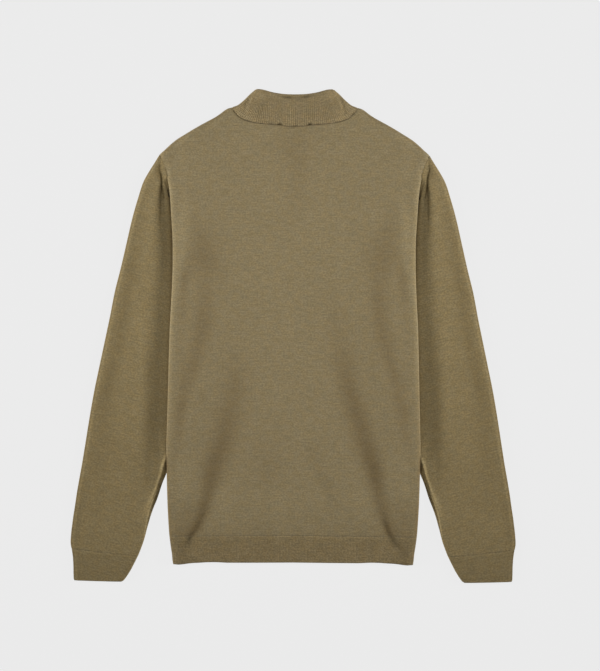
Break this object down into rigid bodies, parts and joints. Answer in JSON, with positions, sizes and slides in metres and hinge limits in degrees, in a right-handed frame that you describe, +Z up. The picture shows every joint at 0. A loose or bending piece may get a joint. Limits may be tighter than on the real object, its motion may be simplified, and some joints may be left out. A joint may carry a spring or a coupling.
{
  "type": "turtleneck sweater",
  "caption": "Fine-knit long-sleeved sweater with a short ribbed stand collar, laid flat back side up with its sides tucked under and its sleeves straight down.",
  "frame": {"origin": "middle of the garment's outline on the surface it lies on", "axes": "+X across the body towards the wearer's right sleeve, +Y from the hem towards the collar, +Z up, out of the back panel; the front lies on Z = 0"},
  "size_m": [0.6864, 0.7654, 0.0112],
  "materials": {
    "plain_knit": "matt fine-gauge plain knit, olive khaki melange",
    "rib_knit": "matt fine one-by-one rib knit, olive khaki"
  },
  "bodies": {
    "root": {"back_panel": "plain_knit", "front_panel": "plain_knit", "sleeve_left": "plain_knit", "sleeve_right": "plain_knit", "hem_rib_back": "rib_knit", "hem_rib_front": "rib_knit", "cuff_left": "rib_knit", "cuff_right": "rib_knit", "collar": "rib_knit"}
  },
  "joints": []
}
